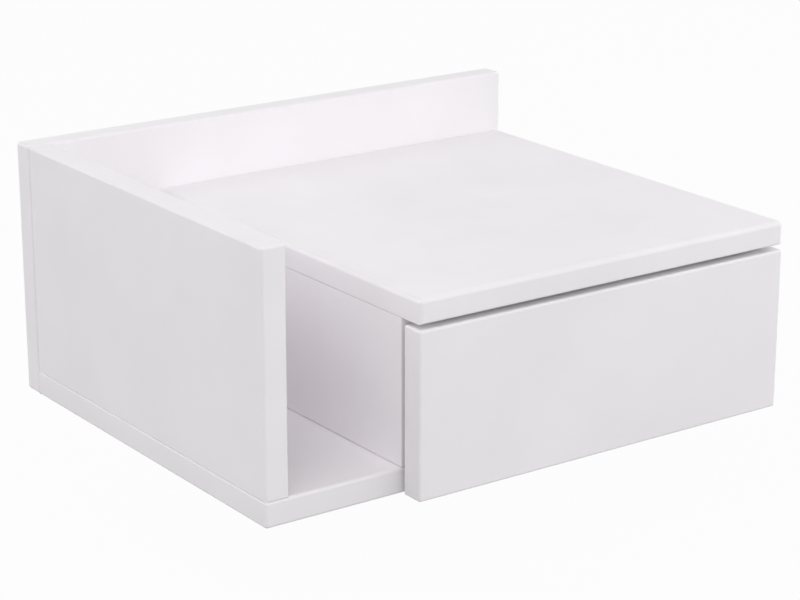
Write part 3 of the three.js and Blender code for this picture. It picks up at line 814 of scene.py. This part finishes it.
# Cam fittings: a zinc plated bolt screwed into the drawer front and a die-cast lock, 15 x 9 mm, in
# each drawer side. A turn of the lock's cross pulls the front tight, and its arrow shows the way.
CAM_BOLT_THREAD = 10 * MM
CAM_BOLT_NECK = 4 * MM
CAM_BOLT_HEAD_LENGTH = 3 * MM
CAM_BOLT_NECK_LENGTH = 4 * MM
CAM_BOLT_NECK_TAPER = 0.4 * MM
CAM_BOLT_HEAD_CHAMFER = 0.6 * MM
CAM_BOLT_TIP = 0.8 * MM
CAM_BOLT_PITCH = 2 * MM
CAM_BOLT_THREAD_START = 1 * MM
# radii of the bolt's tip, its core and its chamfered head end, as shares of its diameter
TIP_RADIUS_SHARE, CORE_RADIUS_SHARE, HEAD_END_RADIUS_SHARE = 0.3, 0.37, 0.36
CAM_RIM = 0.5 * MM
CAM_RIM_KNEE = 0.15 * MM
CAM_REAR_RIM = 0.3 * MM
CAM_CROSS = (6 * MM, 1.5 * MM, 2.6 * MM)
ARROW_WIDE, ARROW_NARROW, ARROW_DEPTH = 1.3 * MM, 1 * MM, 1.2 * MM
ARROW_PLACE = -5.2 * MM

shank, core = CAM_BOLT / 2, CAM_BOLT * CORE_RADIUS_SHARE
neck_end = CAM_BOLT_LENGTH - CAM_BOLT_HEAD_LENGTH
neck_start = neck_end - CAM_BOLT_NECK_LENGTH
bolt = turned("bolt", Vector(), UP, [
    (CAM_BOLT * TIP_RADIUS_SHARE, 0), (core, CAM_BOLT_TIP), (core, CAM_BOLT_THREAD), (shank, CAM_BOLT_THREAD),
    (shank, neck_start - CAM_BOLT_NECK_TAPER), (CAM_BOLT_NECK / 2, neck_start), (CAM_BOLT_NECK / 2, neck_end),
    (shank, neck_end), (shank, CAM_BOLT_LENGTH - CAM_BOLT_HEAD_CHAMFER),
    (CAM_BOLT * HEAD_END_RADIUS_SHARE, CAM_BOLT_LENGTH),
], SCREW_SIDES)
smooth(bolt)
join(bolt, thread(CAM_BOLT, CAM_BOLT_PITCH, CAM_BOLT_THREAD_START, CAM_BOLT_THREAD))
set_copies(bolt, [("cam_bolt_left", TO_REAR), ("cam_bolt_right", TO_REAR)], "drawer", zinc)

# Zinc die casting: duller and greyer than plate, with the fine grain of the mould and a soft sheen.
CAST_PALE = "BCBDBE"
CAST_DEEP = "9FA1A4"
cast = new_material("zinc_die_casting")
tree = cast.node_tree
place = add(tree, "ShaderNodeTexCoord").outputs["Object"]
skin = add(tree, "ShaderNodeTexNoise", {"Scale": 900, "Detail": 4, "Roughness": 0.65}, {"Vector": place})
colour = add(
    tree, "ShaderNodeMix", {"data_type": "RGBA", 6: linear(CAST_DEEP), 7: linear(CAST_PALE)},
    {0: skin.outputs["Fac"]},
)
gloss = add(tree, "ShaderNodeMapRange", {"To Min": 0.38, "To Max": 0.6}, {"Value": skin.outputs["Fac"]})
bump = add(tree, "ShaderNodeBump", {"Strength": 0.35, "Distance": 0.05 * MM}, {"Height": skin.outputs["Fac"]})
shader = add(
    tree, "ShaderNodeBsdfPrincipled", {"Metallic": 1.0},
    {"Base Color": colour.outputs[2], "Roughness": gloss.outputs["Result"], "Normal": bump.outputs["Normal"]},
)
add(tree, "ShaderNodeOutputMaterial", None, {"Surface": shader.outputs["BSDF"]})

for word, outward, inward in DRAWER_SIDES:
    radius = CAM_DIAMETER / 2
    lock = turned("lock", Vector(), UP, [
        (radius - CAM_RIM, 0), (radius - CAM_RIM_KNEE, CAM_RIM_KNEE), (radius, CAM_RIM),
        (radius, CAM_DEPTH - CAM_REAR_RIM), (radius - CAM_REAR_RIM, CAM_DEPTH),
    ], 2 * SCREW_SIDES)
    cross_recess(lock, *CAM_CROSS)
    bpy.ops.object.select_all(action="DESELECT")
    bpy.ops.mesh.primitive_cone_add(
        vertices=3, radius1=ARROW_WIDE, radius2=ARROW_NARROW, depth=ARROW_DEPTH,
        location=(0, ARROW_PLACE, 0), rotation=(0, 0, math.pi),
    )
    arrow = bpy.context.object
    settle(arrow)
    cut(lock, arrow)
    lock.rotation_euler = UP.rotation_difference(outward).to_euler()
    lock.location = start_of(f"cam_lock_{word}", outward)
    settle(lock)
    cut(lock, straight_bore(f"cam_bolt_{word}", TO_REAR, CAM_BOLT, CAM_BOLT_LENGTH))
    lock.name = f"cam_lock_{word}_set"
    smooth(lock)
    dress(lock, f"cam_lock_{word}", "drawer", cast)


# Runners: roll-formed steel strip, 1.2 mm thick, powder coated white. A channel on each bay wall is
# cut away under its front roller, and a Z section under each drawer side rides on that roller.
STEEL = 1.2 * MM
BEND = 1.3 * MM
BEND_STEPS = 4
SHEARED_EDGE = 0.18 * MM
SHEARED_EDGE_STEPS = 2
SHEARED_ANGLE = 50
SLIVER = 0.001 * MM
NEAR = 0.03 * MM
WING = 7.5 * MM
ROLLER_CLEAR = 8 * MM
END_INSET = 8 * MM
LUG_PLACE = 36 * MM
LUG_LENGTH = 4 * MM
LUG_HEIGHT = 3 * MM
LUG_EDGE = 0.8 * MM
LUG_EDGE_STEPS = 3
RIVET = 4 * MM
RIVET_REACH = 20 * MM
SLOT_WIDTH = 4.4 * MM
SLOT_LENGTH = 9 * MM
CHANNEL_SLOT_SHARES = (0.36, 0.52, 0.7)
FOOT_SLOT_SHARES = (0.34, 0.52, 0.72)

# Epoxy powder, sprayed dry on degreased steel and baked: a hard even white with a fine orange peel
# about a millimetre across, drawn twice as coarse so that it shows, and soft gloss.
POWDER_WHITE = "E9EAEB"
POWDER_SHADE = "DFE1E3"
powder = new_material("white_epoxy_powder_coat")
tree = powder.node_tree
place = add(tree, "ShaderNodeTexCoord").outputs["Object"]
cloud = add(tree, "ShaderNodeTexNoise", {"Scale": 45, "Detail": 2}, {"Vector": place})
peel = add(tree, "ShaderNodeTexNoise", {"Scale": 520, "Detail": 2}, {"Vector": place})
colour = add(
    tree, "ShaderNodeMix", {"data_type": "RGBA", 6: linear(POWDER_WHITE), 7: linear(POWDER_SHADE)},
    {0: cloud.outputs["Fac"]},
)
gloss = add(tree, "ShaderNodeMapRange", {"To Min": 0.26, "To Max": 0.4}, {"Value": cloud.outputs["Fac"]})
bump = add(tree, "ShaderNodeBump", {"Strength": 0.25, "Distance": 0.05 * MM}, {"Height": peel.outputs["Fac"]})
shader = add(
    tree, "ShaderNodeBsdfPrincipled", {"IOR": 1.5},
    {"Base Color": colour.outputs[2], "Roughness": gloss.outputs["Result"], "Normal": bump.outputs["Normal"]},
)
add(tree, "ShaderNodeOutputMaterial", None, {"Surface": shader.outputs["BSDF"]})


def bent_strip(name, path, front, rear):
    """Steel strip along the runner, drawn out from corner to corner of its section and thickened."""
    bpy.ops.object.select_all(action="DESELECT")
    first, second = path[:2]
    bpy.ops.mesh.primitive_plane_add(size=1)
    made = bpy.context.object
    made.name = name
    edit(made)
    # the plane's left edge goes to the first corner, and its right edge to the second
    for side, (x, z) in ((-1, first), (1, second)):
        bpy.ops.mesh.select_all(action="DESELECT")
        pick(made, "verts", lambda corner: corner.x * side > 0 and abs(corner.z) < 1)
        bpy.ops.transform.translate(value=(x - side * 0.5, 0, z))
        bpy.ops.transform.resize(value=(1, rear - front, 1), center_override=(x, 0, z))
        bpy.ops.transform.translate(value=(0, (front + rear) / 2, 0))
        bpy.ops.mesh.hide()
    bpy.ops.mesh.reveal(select=False)
    pick(made, "verts", lambda corner: abs(corner.x - second[0]) < NEAR and abs(corner.z - second[1]) < NEAR)
    bpy.ops.mesh.select_mode(type="EDGE")
    for (x, z), (next_x, next_z) in zip(path[1:], path[2:]):
        bpy.ops.mesh.extrude_region_move(TRANSFORM_OT_translate={"value": (next_x - x, 0, next_z - z)})
    bpy.ops.mesh.select_all(action="DESELECT")
    for x, z in path[1:-1]:
        pick(made, "edges", lambda corner: abs(corner.x - x) < NEAR and abs(corner.z - z) < NEAR)
    bpy.ops.mesh.bevel(offset=BEND, segments=BEND_STEPS, affect="EDGES")
    done()
    thicken = made.modifiers.new("thicken", "SOLIDIFY")
    thicken.thickness, thicken.offset, thicken.use_even_offset = STEEL, 0, True
    bpy.ops.object.modifier_apply(modifier=thicken.name)
    return made


def slot_cutter(at, direction):
    """A punch with round ends, as long along the runner as a screw slot."""
    steps = [(SLOT_WIDTH / 2, -OVERRUN), (SLOT_WIDTH / 2, OVERRUN)]
    made = turned("cutter", at, direction, steps, BORE_SIDES)
    edit(made)
    pick(made, "verts", lambda corner: corner.y > at.y - NEAR)
    bpy.ops.transform.translate(value=(0, SLOT_LENGTH - SLOT_WIDTH, 0))
    done()
    return made


def sheared(piece):
    """Breaks the cut edges of the strip and shades its bends."""
    activate(piece)
    ease = piece.modifiers.new("ease", "BEVEL")
    ease.width, ease.segments, ease.limit_method = SHEARED_EDGE, SHEARED_EDGE_STEPS, "ANGLE"
    ease.angle_limit = math.radians(SHEARED_ANGLE)
    bpy.ops.object.modifier_apply(modifier=ease.name)
    edit(piece)
    bpy.ops.mesh.select_all(action="SELECT")
    bpy.ops.mesh.dissolve_degenerate(threshold=SLIVER)
    done()
    smooth(piece)


for word, outward, inward in DRAWER_SIDES:
    way = inward.x
    node = f"cabinet_runner_{word}"
    low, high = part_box(node)
    wall, mouth = (low.x, high.x) if way > 0 else (high.x, low.x)
    half = STEEL / 2
    channel = bent_strip(f"{node}_channel", [
        (mouth, low.z + half), (wall + way * half, low.z + half),
        (wall + way * half, high.z - half), (mouth, high.z - half),
    ], low.y, high.y)
    web, past_mouth = wall + way * STEEL, mouth + way * OVERRUN
    cut(channel, box_between(
        (min(web, past_mouth), low.y - OVERRUN, low.z - OVERRUN),
        (max(web, past_mouth), low.y + END_INSET + ROLLER_CLEAR, low.z + STEEL + OVERRUN),
    ))
    for fixing in WALL_SCREWS[{"left": "divider_panel", "right": "right_side_panel"}[word]][1]:
        cut(channel, straight_bore(fixing, outward, RUNNER_SCREW_SHANK, RUNNER_SCREW_LENGTH))
    for share in CHANNEL_SLOT_SHARES:
        at = Vector((wall + way * half, low.y + (high.y - low.y) * share, (low.z + high.z) / 2))
        cut(channel, slot_cutter(at, outward))
    cut(channel, straight_bore(f"cabinet_roller_rivet_{word}", outward, RIVET, RIVET_REACH))
    sheared(channel)
    lug = box_between(
        (min(web, mouth), low.y + LUG_PLACE, low.z + STEEL),
        (max(web, mouth), low.y + LUG_PLACE + LUG_LENGTH, low.z + STEEL + LUG_HEIGHT),
        "lug",
    )
    edit(lug)
    bpy.ops.mesh.select_all(action="SELECT")
    bpy.ops.mesh.bevel(offset=LUG_EDGE, segments=LUG_EDGE_STEPS, affect="EDGES")
    done()
    smooth(lug)
    join(channel, lug)
    dress(channel, node, "case", powder)

    node = f"drawer_runner_{word}"
    low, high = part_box(node)
    tip, wing_tip = (high.x, low.x) if way > 0 else (low.x, high.x)
    leg = wing_tip + way * (WING + half)
    rail = bent_strip(f"{node}_rail", [
        (tip, low.z + half), (leg, low.z + half), (leg, high.z - half), (wing_tip, high.z - half),
    ], low.y, high.y)
    leg_face, past_wing = leg - way * half, wing_tip - way * OVERRUN
    cut(rail, box_between(
        (min(leg_face, past_wing), high.y - END_INSET - ROLLER_CLEAR, high.z - STEEL - OVERRUN),
        (max(leg_face, past_wing), high.y + OVERRUN, high.z + OVERRUN),
    ))
    for depth in ("rear", "front"):
        fixing = f"drawer_runner_screw_{word}_{depth}"
        cut(rail, straight_bore(fixing, UP, RUNNER_SCREW_SHANK, RUNNER_SCREW_LENGTH))
    fixing_x = start_of(f"drawer_runner_screw_{word}_rear", UP).x
    for share in FOOT_SLOT_SHARES:
        at = Vector((fixing_x, low.y + (high.y - low.y) * share, low.z + half))
        cut(rail, slot_cutter(at, UP))
    cut(rail, straight_bore(f"drawer_roller_rivet_{word}", inward, RIVET, RIVET_REACH))
    sheared(rail)
    dress(rail, node, "drawer", powder)


# Rollers: moulded nylon wheels, 14 x 6 mm, with a rounded tread, a dished face and a hub. Each one
# turns on a steel rivet, whose head keeps it on. The front pair sits on the bay walls, the rear pair
# on the drawer.
ROLLER = 14 * MM
ROLLER_WIDTH = 6 * MM
TREAD_ROUND = 0.8 * MM
TREAD_KNEE, TREAD_KNEE_RISE = 0.2 * MM, 0.25 * MM
RIM = 1.2 * MM
RIM_FOOT = 1.5 * MM
HUB, HUB_FOOT = 3.5 * MM, 3.7 * MM
DISH = 1.2 * MM
RIVET_HEAD = 7 * MM
RIVET_HEAD_HEIGHT = 0.8 * MM
RIVET_HEAD_KNEE, RIVET_HEAD_ROUND = 0.14 * MM, 0.5 * MM
RIVET_TOP_SHARE, RIVET_KNEE_SHARE = 0.28, 0.42
RIVET_TIP = 0.2 * MM

# Nylon, injection moulded in its natural milky white: light goes a millimetre into it, and the mould
# leaves it smooth with a slightly matt skin.
NYLON_MILK = "DFE0DF"
NYLON_DEEP = "D3D5D5"
nylon = new_material("moulded_natural_nylon")
tree = nylon.node_tree
place = add(tree, "ShaderNodeTexCoord").outputs["Object"]
flow = add(tree, "ShaderNodeTexNoise", {"Scale": 260, "Detail": 3}, {"Vector": place})
skin = add(tree, "ShaderNodeTexNoise", {"Scale": 1300, "Detail": 2}, {"Vector": place})
colour = add(
    tree, "ShaderNodeMix", {"data_type": "RGBA", 6: linear(NYLON_MILK), 7: linear(NYLON_DEEP)},
    {0: flow.outputs["Fac"]},
)
gloss = add(tree, "ShaderNodeMapRange", {"To Min": 0.34, "To Max": 0.5}, {"Value": flow.outputs["Fac"]})
bump = add(tree, "ShaderNodeBump", {"Strength": 0.15, "Distance": 0.03 * MM}, {"Height": skin.outputs["Fac"]})
shader = add(
    tree, "ShaderNodeBsdfPrincipled",
    {"IOR": 1.53, "Subsurface Weight": 0.3, "Subsurface Radius": (1 * MM, 1 * MM, 1 * MM), "Subsurface Scale": 1.0},
    {"Base Color": colour.outputs[2], "Roughness": gloss.outputs["Result"], "Normal": bump.outputs["Normal"]},
)
add(tree, "ShaderNodeOutputMaterial", None, {"Surface": shader.outputs["BSDF"]})

radius = ROLLER / 2
wheel = turned("wheel", Vector(), UP, [
    (radius - TREAD_ROUND, 0), (radius - TREAD_KNEE, TREAD_KNEE_RISE), (radius, TREAD_ROUND),
    (radius, ROLLER_WIDTH - TREAD_ROUND), (radius - TREAD_KNEE, ROLLER_WIDTH - TREAD_KNEE_RISE),
    (radius - TREAD_ROUND, ROLLER_WIDTH), (radius - RIM, ROLLER_WIDTH),
    (radius - RIM_FOOT, ROLLER_WIDTH - DISH), (HUB_FOOT, ROLLER_WIDTH - DISH), (HUB, ROLLER_WIDTH),
], 2 * SCREW_SIDES)
bore = RIVET / 2 + SLACK
cut(wheel, turned("cutter", Vector(), UP, [(bore, -OVERRUN), (bore, ROLLER_WIDTH + OVERRUN)], 2 * BORE_SIDES))
smooth(wheel)
for word, outward, inward in DRAWER_SIDES:
    for node, body, direction in (
        (f"cabinet_roller_{word}", f"front_roller_{word}", inward),
        (f"drawer_roller_{word}", f"rear_roller_{word}", outward),
    ):
        set_copy(wheel, f"{node}_wheel", node, direction, body, nylon)
bpy.data.objects.remove(wheel, do_unlink=True)

for stem, body, side in (("cabinet_roller_rivet", "case", 1), ("drawer_roller_rivet", "drawer", 2)):
    low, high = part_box(f"{stem}_left")
    length = high.x - low.x
    rivet = turned("rivet", Vector(), UP, [
        (RIVET_HEAD * RIVET_TOP_SHARE, 0), (RIVET_HEAD * RIVET_KNEE_SHARE, RIVET_HEAD_KNEE),
        (RIVET_HEAD / 2, RIVET_HEAD_ROUND), (RIVET_HEAD / 2, RIVET_HEAD_HEIGHT), (RIVET / 2, RIVET_HEAD_HEIGHT),
        (RIVET / 2, length - RIVET_TIP), (RIVET / 2 - RIVET_TIP, length),
    ], SCREW_SIDES)
    smooth(rivet)
    set_copies(rivet, [(f"{stem}_{ways[0]}", ways[side]) for ways in DRAWER_SIDES], body, zinc)


# Bumpers: two clear pads of soft polyurethane, 8 mm across, stuck to the front edges of the divider
# and the right side, so that the drawer front closes quietly.
BUMPER = 8 * MM
# radius and rise of each step of the dome, as shares of its diameter and its height
DOME_SHARES = ((0.5, 0), (0.5, 0.25), (0.46, 0.6), (0.36, 0.88), (0.2, 1))
DOME_ANGLE = 50

# Cast polyurethane: clear with a milky tint, smooth on its dome, soft enough to blur what is behind.
BUMPER_TINT = "E6E9E6"
gel = new_material("clear_soft_polyurethane")
tree = gel.node_tree
place = add(tree, "ShaderNodeTexCoord").outputs["Object"]
haze = add(tree, "ShaderNodeTexNoise", {"Scale": 600, "Detail": 2}, {"Vector": place})
gloss = add(tree, "ShaderNodeMapRange", {"To Min": 0.2, "To Max": 0.4}, {"Value": haze.outputs["Fac"]})
shader = add(
    tree, "ShaderNodeBsdfPrincipled",
    {"Base Color": linear(BUMPER_TINT), "IOR": 1.49, "Transmission Weight": 0.45},
    {"Roughness": gloss.outputs["Result"]},
)
add(tree, "ShaderNodeOutputMaterial", None, {"Surface": shader.outputs["BSDF"]})

low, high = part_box("front_bumper_right")
rise = high.y - low.y
steps = [(BUMPER * wide, rise * tall) for wide, tall in DOME_SHARES]
dome = turned("dome", Vector(), UP, steps, SCREW_SIDES)
smooth(dome, DOME_ANGLE)
set_copies(dome, [("front_bumper_divider", TO_FRONT), ("front_bumper_right", TO_FRONT)], "case", gel)


# Studio: the nightstand hangs just above a plain pale floor, in the light of six soft boxes and
# dim white walls. The floor and the walls are pure white only to the camera and in reflections, so
# no extra light falls on the object for it.
FLOOR_DROP = 0.08
FLOOR_SIZE = 60
FLOOR_PALE = "B4B4B4"
FLOOR_SPECK = "B0B0B0"
FLOOR_SHOWN_WHITE_SHARE = 0.97
WALL_LIGHT = 0.2
WHITE = (1.0, 1.0, 1.0, 1.0)


def seen_directly(tree, most):
    """A share for camera, glossy and transmission rays, and zero for the rays that light the object."""
    ray = add(tree, "ShaderNodeLightPath")
    either = add(
        tree, "ShaderNodeMath", {"operation": "MAXIMUM"},
        {0: ray.outputs["Is Camera Ray"], 1: ray.outputs["Is Glossy Ray"]},
    )
    any_of = add(
        tree, "ShaderNodeMath", {"operation": "MAXIMUM"},
        {0: either.outputs["Value"], 1: ray.outputs["Is Transmission Ray"]},
    )
    share = add(tree, "ShaderNodeMath", {"operation": "MULTIPLY", 1: most}, {0: any_of.outputs["Value"]})
    return share.outputs["Value"]


bpy.ops.object.select_all(action="DESELECT")
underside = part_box("bottom_panel")[0].z
bpy.ops.mesh.primitive_plane_add(size=FLOOR_SIZE, location=(0, 0, underside - FLOOR_DROP))
ground = bpy.context.object
ground.name = "studio_floor"
settle(ground)
ground_paint = new_material("pale_studio_floor")
tree = ground_paint.node_tree
place = add(tree, "ShaderNodeTexCoord").outputs["Object"]
speck = add(tree, "ShaderNodeTexNoise", {"Scale": 3, "Detail": 2}, {"Vector": place})
shade = add(
    tree, "ShaderNodeMix", {"data_type": "RGBA", 6: linear(FLOOR_PALE), 7: linear(FLOOR_SPECK)},
    {0: speck.outputs["Fac"]},
)
lit = add(tree, "ShaderNodeBsdfDiffuse", None, {"Color": shade.outputs[2]})
glow = add(tree, "ShaderNodeEmission", {"Color": WHITE, "Strength": 1.0})
both = add(
    tree, "ShaderNodeMixShader", None,
    {0: seen_directly(tree, FLOOR_SHOWN_WHITE_SHARE), 1: lit.outputs["BSDF"], 2: glow.outputs["Emission"]},
)
add(tree, "ShaderNodeOutputMaterial", None, {"Surface": both.outputs["Shader"]})
ground.data.materials.append(ground_paint)

world = bpy.data.worlds.new("white_studio_walls")
bpy.context.scene.world = world
world.use_nodes = True
tree = world.node_tree
tree.nodes.clear()
walls = add(tree, "ShaderNodeBackground", {"Color": WHITE, "Strength": WALL_LIGHT})
sheet = add(tree, "ShaderNodeBackground", {"Color": WHITE, "Strength": 1.0})
both = add(
    tree, "ShaderNodeMixShader", None,
    {0: seen_directly(tree, 1.0), 1: walls.outputs["Background"], 2: sheet.outputs["Background"]},
)
add(tree, "ShaderNodeOutputWorld", None, {"Surface": both.outputs["Shader"]})

# Degrees round from the front to the right, degrees above the floor, width, height, power in watts,
# and whether it shows in reflections: those that would glare on the shelf from across don't
SOFT_BOXES = {
    "left": (-90, 20, 2.0, 1.2, 10, True), "front_left": (-45, 42, 1.6, 1.6, 17, True),
    "front": (0, 15, 1.6, 1.6, 9, False), "front_right": (45, 17, 2.0, 1.2, 17.5, False),
    "right": (90, 20, 1.6, 1.6, 19, False), "rear_left": (-135, 46, 1.6, 1.6, 17.5, False),
}
SOFT_BOX_AWAY = 2.3
AIM = Vector((0, -0.15, 0))
for name, (round_to, above, width, height, power, shows) in SOFT_BOXES.items():
    round_to, above = math.radians(round_to), math.radians(above)
    level = Vector((math.sin(round_to), -math.cos(round_to), 0))
    way = level * math.cos(above) + UP * math.sin(above)
    lamp = bpy.data.lights.new(f"soft_box_{name}", "AREA")
    lamp.shape, lamp.size, lamp.size_y, lamp.energy = "RECTANGLE", width, height, power
    stand = bpy.data.objects.new(f"soft_box_{name}", lamp)
    bpy.context.scene.collection.objects.link(stand)
    stand.location = AIM + way * SOFT_BOX_AWAY
    stand.rotation_euler = (-way).to_track_quat("-Z", "Y").to_euler()
    stand.visible_glossy = shows

# The photograph was taken from the left and a little above, through a long lens: millimetres of
# lens and sensor, then metres.
FOCAL_LENGTH, SENSOR_WIDTH = 110.76, 36
NEAREST, FARTHEST = 0.05, 100
CAMERA_PLACE = (-0.8565, -1.3630, 0.4594)
CAMERA_WAY = Vector((0.55076, 0.77661, -0.30585))
lens = bpy.data.cameras.new("camera")
lens.lens, lens.sensor_width, lens.sensor_fit = FOCAL_LENGTH, SENSOR_WIDTH, "HORIZONTAL"
lens.clip_start, lens.clip_end = NEAREST, FARTHEST
camera = bpy.data.objects.new("camera", lens)
bpy.context.scene.collection.objects.link(camera)
camera.location = CAMERA_PLACE
camera.rotation_euler = CAMERA_WAY.to_track_quat("-Z", "Y").to_euler()
bpy.context.scene.camera = camera
bpy.context.scene.view_settings.view_transform = "Standard"
